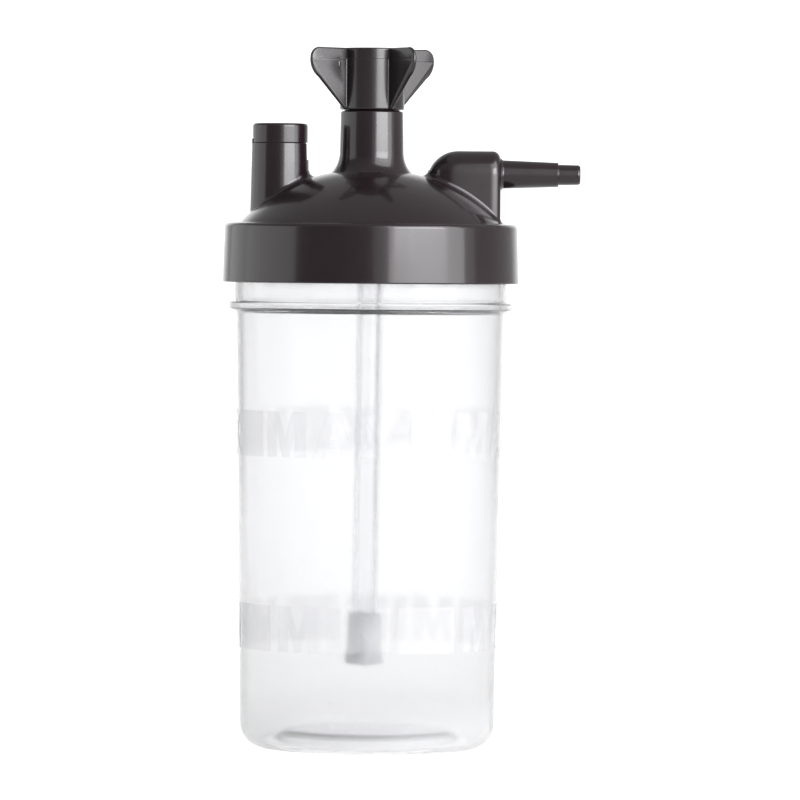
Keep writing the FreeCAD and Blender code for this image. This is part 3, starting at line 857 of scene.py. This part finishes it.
# Plain block letters in millimetres: the width, and the outlines with their holes.
GLYPH_HEIGHT = 12.8
LETTER_GAP = 1.7
LETTER_GAP_AFTER_A = 0.8
MARK_STEP = 1.2
MARK_DEPTH = 0.14
MARK_CLEARANCE = 0.012
GLYPHS = {
    "M": (14.0, [[(0, 0), (3.7, 0), (3.7, 7.4), (5.9, 0), (8.1, 0), (10.3, 7.4), (10.3, 0),
                  (14, 0), (14, 12.8), (9.5, 12.8), (7, 5.4), (4.5, 12.8), (0, 12.8)]]),
    "A": (12.8, [[(0, 0), (3.7, 0), (4.5, 2.7), (8.3, 2.7), (9.1, 0), (12.8, 0),
                  (8.5, 12.8), (4.3, 12.8)],
                 [(5.2, 5.3), (6.4, 9.4), (7.6, 5.3)]]),
    "X": (12.4, [[(0, 0), (4.0, 0), (6.2, 3.8), (8.4, 0), (12.4, 0), (8.4, 6.5),
                  (12.1, 12.8), (8.3, 12.8), (6.2, 9.2), (4.1, 12.8), (0.3, 12.8), (4.0, 6.5)]]),
    "I": (4.2, [[(0, 0), (4.2, 0), (4.2, 12.8), (0, 12.8)]]),
    "N": (12.2, [[(0, 0), (3.7, 0), (3.7, 6.8), (8.5, 0), (12.2, 0), (12.2, 12.8),
                  (8.5, 12.8), (8.5, 6.0), (3.7, 12.8), (0, 12.8)]]),
}


def level_band(name, word, bar, gap, low, first, repeats=4):
    """Plain raised letters and bars running round the wall. Low is the height of their foot,
    and first is where the first word starts, in degrees from the camera's side."""
    circle_mm = 2 * math.pi * wall_r(low + GLYPH_HEIGHT / 2)
    marks = []
    u = 0.0
    for letter in word:
        width, outlines = GLYPHS[letter]
        marks.append([[(x + u, y) for x, y in outline] for outline in outlines])
        u += width + (LETTER_GAP_AFTER_A if letter == "A" else LETTER_GAP)
    u += gap - LETTER_GAP
    marks.append([[(u, 0), (u + bar, 0), (u + bar, GLYPH_HEIGHT), (u, GLYPH_HEIGHT)]])
    pitch = circle_mm / repeats
    work = bmesh.new()
    for repeat in range(repeats):
        for outlines in marks:
            part = fill([[(x + repeat * pitch, y) for x, y in outline] for outline in outlines])
            low_x = min(v.co.x for v in part.verts)
            high_x = max(v.co.x for v in part.verts)
            cut = low_x + MARK_STEP
            while cut < high_x - 0.2:
                every = part.verts[:] + part.edges[:] + part.faces[:]
                bmesh.ops.bisect_plane(part, geom=every, plane_co=(cut, 0, 0), plane_no=(1, 0, 0))
                cut += MARK_STEP
            solid = bmesh.ops.extrude_face_region(part, geom=part.faces[:])
            for v in solid["geom"]:
                if isinstance(v, bmesh.types.BMVert):
                    v.co.z = MARK_DEPTH
            flat = bpy.data.meshes.new("mark")
            part.to_mesh(flat)
            part.free()
            work.from_mesh(flat)
    for v in work.verts:
        angle = math.radians(first) + v.co.x / circle_mm * 2 * math.pi
        z = low + v.co.y
        r = wall_r(z) + MARK_CLEARANCE + v.co.z
        v.co = Vector((r * math.sin(angle), -r * math.cos(angle), z)) * MM
    data = bpy.data.meshes.new(name)
    work.to_mesh(data)
    work.free()
    return clean(data, 1e-7, 40)


# ---------------------------------------------------------------- wing nut

def wing_place(angle):
    """Turns (out, up, across) on a wing into a point."""
    c = math.cos(angle)
    s = math.sin(angle)
    return lambda u, v, w: (u * c - w * s, u * s + w * c, v)


def wing_fillet(shape, place, side):
    """A small fillet down one side of a wing's root."""
    radius = 0.35
    turns = [math.radians(-90 - 84 * i / 8) for i in range(9)]
    section = [(9.398 + radius * math.cos(a), 0.99 + radius * math.sin(a)) for a in turns]
    section += [(8.7, 1.0), (8.9, 0.4)]
    heights = (181.1, 181.2, 194.5, 194.62)
    shape.capped([[place(u, z, side * w) for u, w in section] for z in heights])


def wing_pip(shape, place):
    """A low oval pip on a wing's face, open where it meets the face."""
    rows = []
    for i in range(6):
        a = math.radians(15 * i)
        across = 0.62 + 0.24 * math.sin(a)
        turns = [math.radians(-15 * j) for j in range(24)]
        rows.append([place(11.8 + 0.45 * math.cos(a) * math.cos(b),
                           193.0 + 1.3 * math.cos(a) * math.sin(b), across) for b in turns])
    shape.grid(rows, close=True)
    shape.faces.append(tuple(range(len(shape.verts) - 24, len(shape.verts))))


def nut_mesh():
    """The threaded nut with its four wings, which are thicker up to a step near their tips."""
    core = soft([(5.05, 180.4, 0.2), (9.1, 180.4, 0.4), (9.1, 194.64, 0.05), (9.0, 194.78, 0.05),
                 (9.0, 197.8, 0.5), (7.75, 197.8, 0.15), (7.15, 197.2), (7.15, 188.2), (7.3, 188.0),
                 (7.3, 183.5), (5.05, 183.5)], 6)
    parts = [lathe(Shape(), held(core), 160).mesh("core")]
    ridge = thread(Shape(), 7.15, 0.70, 0.62, 0.13, 189.1, 1.411, 5.45, inward=True, per_turn=72)
    parts.append(ridge.mesh("ridge", sharp=45))
    full = [(8.2, 180.5), (9.5, 180.5)] + through((9.5, 180.5), (9.75, 180.56), (9.95, 180.85), 3)
    full += [(18.4, 189.4)] + through((18.4, 189.4), (20.55, 191.9), (21.1, 194.7), 14)
    full += through((21.1, 194.7), (20.2, 197.0), (17.5, 197.8), 14) + [(8.2, 197.76)]
    lower = [p for p in full if p[1] <= 194.7] + [(8.2, 194.7)]
    blades = Shape()
    for k in range(4):
        place = wing_place(math.radians(35 + 90 * k))
        plate(blades, full, 1.12, 0.5, place)
        plate(blades, lower, 1.28, 0.5, place)
        for side in (-1, 1):
            wing_fillet(blades, place, side)
        wing_pip(blades, place)
    parts.append(blades.mesh("blades", weld=0.0005))
    return join("wing_nut_shell", parts)


# ---------------------------------------------------------------- small pieces

def turned(name, corners, steps=128):
    """A ring on Z from the corners of its section."""
    return lathe(Shape(), held(soft(corners)), steps).mesh(name)


def axis_turned(name, corners, steps, cx=0.0):
    """The same for a piece that's solid on its axis: the profile starts and ends there."""
    profile = held(soft(corners), closed=False)
    return lathe(Shape(), profile, steps, closed=False, cx=cx).mesh(name)


def cap_mesh():
    """The relief post's cap, notched for the post's tab."""
    data = axis_turned("cap", CAP, 144, POST_X)
    notch = block((POST_X - 9.5, -1.8, 169.0), (POST_X - 7.38, 1.8, 172.4))
    return cut_clean(data, [notch])


def spring_mesh():
    """A compression spring with its end turns closed."""
    turns = 8.4
    low = 161.98
    high = 174.42
    dead = 1.1
    rise = 0.72
    coil = 3.0
    wire = 0.35
    steps = int(turns * 48)
    active = (high - low - 2 * dead * rise) / (turns - 2 * dead)
    rows = []
    for i in range(steps + 1):
        t = turns * i / steps
        z = low + min(t, dead) * rise + max(0, min(t, turns - dead) - dead) * active
        z += max(0, t - turns + dead) * rise
        a = 2 * math.pi * t
        rows.append([(POST_X + r * math.cos(a), r * math.sin(a), z + up)
                     for r, up in ring_of(wire, 16, coil)])
    return Shape().capped(rows).mesh("spring", weld=0.0005, sharp=50)


def foot_mesh():
    """The diffuser's foot: a disc with a spigot, a centre nub and a ring of pores."""
    turns = [math.pi * k / 4 for k in range(8)]
    pores = [rod(0.5, 23.0, 26.0, 2.75 * math.cos(a), 2.75 * math.sin(a), 24) for a in turns]
    return cut_clean(axis_turned("foot", FOOT, 112), pores)


def leaning(data):
    """The tube leans a little in its socket, as hand-fitted tubes do."""
    pivot = Vector((0, 0, 158.0)) * MM
    lean = Matrix.Rotation(math.radians(0.45), 4, "Y")
    data.transform(Matrix.Translation(pivot) @ lean @ Matrix.Translation(-pivot))
    return data


# Sections as (radius, height) corners in millimetres, some with a rounding.
CAP = [(0, 170.2), (2.3, 170.2, 0.4), (2.3, 174.8, 0.3), (6.3, 174.8, 0.3), (6.3, 167.6, 0.2),
       (7.35, 167.6, 0.3), (7.35, 170.9), (7.8, 170.95, 0.12), (7.8, 176.4, 0.8),
       (6.0, 176.4, 0.3), (5.85, 176.34), (0, 176.34)]
FOOT = [(0, 23.4), (1.0, 23.4, 0.15), (1.3, 23.9, 0.1), (5.3, 23.9, 0.4), (5.3, 27.0, 0.3),
        (4.2, 27.0), (4.2, 25.1), (0, 25.1)]
GASKET = [(35.4, 144.4, 0.3), (39.85, 144.4, 0.3), (39.85, 146.0, 0.3), (35.4, 146.0, 0.3)]
NIPPLE = [(2.4, 168.0), (5.2, 168.0), (5.6, 168.4), (5.6, 180.0, 0.15), (4.75, 180.0, 0.1),
          (4.75, 183.9, 0.2), (6.1, 183.9, 0.25), (6.1, 185.6, 0.3), (5.2, 185.6, 0.2),
          (5.12, 186.4), (4.75, 187.2), (4.2, 187.7), (3.5, 188.0, 0.4), (2.4, 188.0, 0.25)]
TUBE_WALL = [(2.35, 33.5, 0.15), (3.5, 33.5, 0.15), (3.5, 158.0), (2.35, 158.0)]
SLEEVE = [(3.52, 38.3, 0.1), (3.52, 33.45), (2.9, 33.45, 0.1), (2.9, 25.4, 0.1), (4.2, 25.4),
          (4.2, 27.02), (4.85, 27.02, 0.1), (4.7, 38.3, 0.25)]
POPPET = [(0, 160.0), (3.6, 160.0), (3.6, 159.3, 0.1), (5.0, 159.3, 0.3), (5.0, 161.6, 0.3),
          (1.7, 161.6, 0.4), (1.7, 167.4, 0.5), (0, 167.4)]
SEAL_DISC = [(0, 158.8), (3.6, 158.8, 0.2), (3.6, 160.0, 0.1), (0, 160.0)]


bottle_thread = thread(Shape(), 38.45, 1.3, 0.85, 0.45, 136.6, 4.0, 1.5).mesh("ridge", sharp=45)
piece("bottle_wall", join("bottle_wall", [bottle_wall(), bottle_thread]),
      "bottle", CLEAR, ["bottle"])
piece("max_band", level_band("max_band", "MAX", 12.6, 2.3, 82.9, -49.1),
      "bottle", FROSTED)
piece("min_band", level_band("min_band", "MIN", 17.9, 2.4, 28.6, -43.0),
      "bottle", FROSTED)
piece("gasket_ring", turned("gasket", GASKET, 160), "gasket", SEAL, ["lid_gasket"])
piece("wing_nut_shell", nut_mesh(), "nut", NUT, ["wing_nut"])
piece("nipple", turned("nipple", NIPPLE), "lid", INNER, ["inlet_nipple"])
piece("tube", leaning(turned("tube", TUBE_WALL, 112)), "lid", TUBE, ["dip_tube"])
piece("sleeve", leaning(turned("sleeve", SLEEVE, 112)),
      "lid", DIFFUSER, ["diffuser_sleeve"])
piece("foot", leaning(foot_mesh()), "lid", DIFFUSER, ["diffuser_foot"])
piece("cap", cap_mesh(), "lid", LID, ["relief_cap"])
piece("poppet", axis_turned("poppet", POPPET, 96, POST_X),
      "valve", INNER, ["relief_poppet"])
piece("seal", axis_turned("seal", SEAL_DISC, 96, POST_X),
      "valve", SEAL, ["relief_seal"])
spring = piece("spring", spring_mesh(), "lid", STEEL, ["relief_spring"])
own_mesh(spring)


# ---------------------------------------------------------------- floor

# The world alone adds this much to the floor, so its painted glow, which stands in for lamp light,
# is that much less than the horizon.
FLOOR_LIT = 0.24


def floor_material():
    """Pale and matt, glowing with painted light in place of the lamps' own: a brighter painted pool
    right round the object, brighter behind it, and fading into the room's horizon far from the
    object.
    """
    material, tree, shader = new_material("floor_painted_glow", Roughness=0.85, Emission_Color=(1, 1, 1, 1))
    tint(tree, shader, noise(tree, 3, 2), (0.445, 0.445, 0.445), (0.455, 0.455, 0.455))
    place = coordinate(tree, "Object")
    reach = vector_math(tree, "LENGTH", place, "Value")
    parts = axis_parts(tree, vector_math(tree, "NORMALIZE", place, "Vector"))
    # Painted pool of light: the glow is strongest right round the object, which lightens the
    # bottle's foot.
    painted_light_pool = ramp(tree, reach, 0.03, 0.07, 0.98, 0.88)
    middle = ramp(tree, parts["Y"], 0.3, 0.9, 0.55, 1.15)
    far = ramp(tree, horizon_light(tree, parts), FLOOR_LIT, FLOOR_LIT + 1.5, 0.0, 1.5)
    painted_glow = blend_values(tree, ramp(tree, reach, 0.12, 0.9, 0.0, 1.0), painted_light_pool, middle)
    painted_glow = blend_values(tree, ramp(tree, reach, 0.9, 2.2, 0.0, 1.0), painted_glow, far)
    tree.links.new(painted_glow, shader.inputs["Emission Strength"])
    return material


FLOOR_HALF = 25.0
corners = [(x * FLOOR_HALF, y * FLOOR_HALF, 0) for x, y in ((-1, -1), (1, -1), (1, 1), (-1, 1))]
floor_mesh = bpy.data.meshes.new("floor")
floor_mesh.from_pydata(corners, [], [(0, 1, 2, 3)])
floor_mesh.materials.append(floor_material())
floor = bpy.data.objects.new("floor", floor_mesh)
bpy.context.scene.collection.objects.link(floor)
floor_apart.objects.link(floor)
floor_apart.collection_objects[0].light_linking.link_state = "EXCLUDE"
